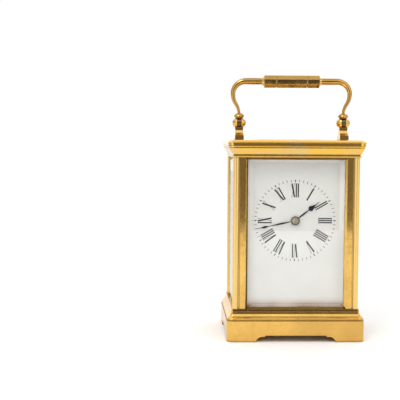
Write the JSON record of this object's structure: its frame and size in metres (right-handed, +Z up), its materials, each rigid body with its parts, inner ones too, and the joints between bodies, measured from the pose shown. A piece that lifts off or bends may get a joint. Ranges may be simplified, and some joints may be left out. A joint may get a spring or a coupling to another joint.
{
  "type": "mantel clock",
  "caption": "Small brass carriage clock with bevelled glass sides, folding bail handle, rear door, dial, hands and a platform lever movement.",
  "frame": {"origin": "centre of the base's underside, on the surface the clock stands on", "axes": "+X to the right of the dial, -Y the side the dial faces, +Z up"},
  "size_m": [0.0904, 0.0768, 0.1751],
  "materials": {
    "polished_brass": "polished and lacquered",
    "gilt_brass": "gilt, satin",
    "bevelled_glass": "clear, bevelled edges",
    "blued_steel": "blued",
    "steel": "polished",
    "enamel": "white enamel, gloss",
    "copper": "bright"
  },
  "bodies": {
    "case": {"base_plinth": "polished_brass", "pillar_front_left": "polished_brass", "pillar_front_right": "polished_brass", "pillar_rear_left": "polished_brass", "pillar_rear_right": "polished_brass", "pillar_screws": "steel", "top_frame": "polished_brass", "front_glass": "bevelled_glass", "left_glass": "bevelled_glass", "right_glass": "bevelled_glass", "top_glass": "bevelled_glass", "door_hinge_pins": "steel", "handle_post_left": "polished_brass", "handle_post_right": "polished_brass", "handle_pivot_pins": "steel", "front_plate": "gilt_brass", "back_plate": "gilt_brass", "plate_pillars": "gilt_brass", "plate_screws": "blued_steel", "seat_screws": "blued_steel", "dial": "enamel", "dial_feet": "copper", "minute_wheel_stud": "steel", "click_screw": "blued_steel", "click_spring": "steel", "platform_plate": "gilt_brass", "platform_screws": "blued_steel", "balance_cock": "gilt_brass", "escapement_bridges": "gilt_brass"},
    "door": {"door_frame": "polished_brass", "door_glass": "bevelled_glass", "door_knob": "polished_brass"},
    "handle": {"handle_bail_left": "polished_brass", "handle_bail_right": "polished_brass", "handle_grip": "polished_brass"},
    "barrel": {"barrel_drum": "gilt_brass", "barrel_cap": "gilt_brass", "mainspring": "steel"},
    "winding_arbor": {"barrel_arbor": "steel", "ratchet_wheel": "steel"},
    "click": {"click": "steel"},
    "intermediate": {"intermediate_arbor": "steel", "intermediate_wheel": "gilt_brass"},
    "centre": {"centre_arbor": "steel", "centre_wheel": "gilt_brass", "cannon_pinion": "steel", "minute_hand": "blued_steel", "hand_collet": "gilt_brass"},
    "third": {"third_arbor": "steel", "third_wheel": "gilt_brass"},
    "contrate": {"contrate_arbor": "steel", "contrate_wheel": "gilt_brass"},
    "escape": {"escape_wheel": "gilt_brass"},
    "lever": {"lever": "steel"},
    "balance": {"balance_wheel": "gilt_brass", "hairspring": "blued_steel"},
    "regulator": {"regulator_index": "steel"},
    "minute_work": {"minute_wheel": "gilt_brass"},
    "hour": {"hour_wheel": "gilt_brass", "hour_hand": "blued_steel"}
  },
  "joints": [
    {"name": "handle_swing", "type": "hinge", "parent": "case", "child": "handle", "pos_m": [0, 0, 0.1427], "axis": [1, 0, 0], "range_deg": [-104, 104]},
    {"name": "door_swing", "type": "hinge", "parent": "case", "child": "door", "pos_m": [-0.03335, 0.0323, 0.0705], "axis": [0, 0, 1], "range_deg": [0, 95]},
    {"name": "hand_drive", "type": "hinge", "parent": "case", "child": "centre", "pos_m": [0, -0.0015, 0.0784], "axis": [0, 1, 0], "continuous": true},
    {"name": "intermediate_turn", "type": "hinge", "parent": "case", "child": "intermediate", "pos_m": [0.00333, -0.0015, 0.06398], "axis": [0, 1, 0], "continuous": true},
    {"name": "barrel_turn", "type": "hinge", "parent": "case", "child": "barrel", "pos_m": [-0.006, -0.0015, 0.0455], "axis": [0, 1, 0], "continuous": true},
    {"name": "third_turn", "type": "hinge", "parent": "case", "child": "third", "pos_m": [0.00507, -0.0015, 0.09188], "axis": [0, 1, 0], "continuous": true},
    {"name": "contrate_turn", "type": "hinge", "parent": "case", "child": "contrate", "pos_m": [-0.007, -0.0015, 0.09601], "axis": [0, 1, 0], "continuous": true},
    {"name": "escape_turn", "type": "hinge", "parent": "case", "child": "escape", "pos_m": [-0.007, 0.00418, 0.1116], "axis": [0, 0, 1], "continuous": true},
    {"name": "minute_wheel_turn", "type": "hinge", "parent": "case", "child": "minute_work", "pos_m": [0.00797, -0.0015, 0.07518], "axis": [0, 1, 0], "continuous": true},
    {"name": "hour_turn", "type": "hinge", "parent": "case", "child": "hour", "pos_m": [0, -0.0015, 0.0784], "axis": [0, 1, 0], "continuous": true},
    {"name": "winding", "type": "hinge", "parent": "case", "child": "winding_arbor", "pos_m": [-0.006, -0.0015, 0.0455], "axis": [0, 1, 0], "range_deg": [0, 2160]},
    {"name": "click_lift", "type": "hinge", "parent": "case", "child": "click", "pos_m": [0.00592, 0.0155, 0.05184], "axis": [0, 1, 0], "range_deg": [0, 12]},
    {"name": "lever_rock", "type": "hinge", "parent": "case", "child": "lever", "pos_m": [-0.0015, 0.00418, 0.1116], "axis": [0, 0, 1], "range_deg": [-5, 5]},
    {"name": "balance_swing", "type": "hinge", "parent": "case", "child": "balance", "pos_m": [0.008, 0.00418, 0.1116], "axis": [0, 0, 1], "range_deg": [-220, 220], "stiffness_Nm_per_rad": 0.000007},
    {"name": "regulator_swing", "type": "hinge", "parent": "case", "child": "regulator", "pos_m": [0.008, 0.00418, 0.1116], "axis": [0, 0, 1], "range_deg": [-25, 25]}
  ],
  "couplings": [
    {"joint": "intermediate_turn", "follows": "hand_drive", "ratio": -0.15625},
    {"joint": "barrel_turn", "follows": "hand_drive", "ratio": 0.023438},
    {"joint": "third_turn", "follows": "hand_drive", "ratio": -8},
    {"joint": "contrate_turn", "follows": "hand_drive", "ratio": 60},
    {"joint": "escape_turn", "follows": "hand_drive", "ratio": -600},
    {"joint": "minute_wheel_turn", "follows": "hand_drive", "ratio": -0.33333},
    {"joint": "hour_turn", "follows": "hand_drive", "ratio": 0.083333}
  ]
}
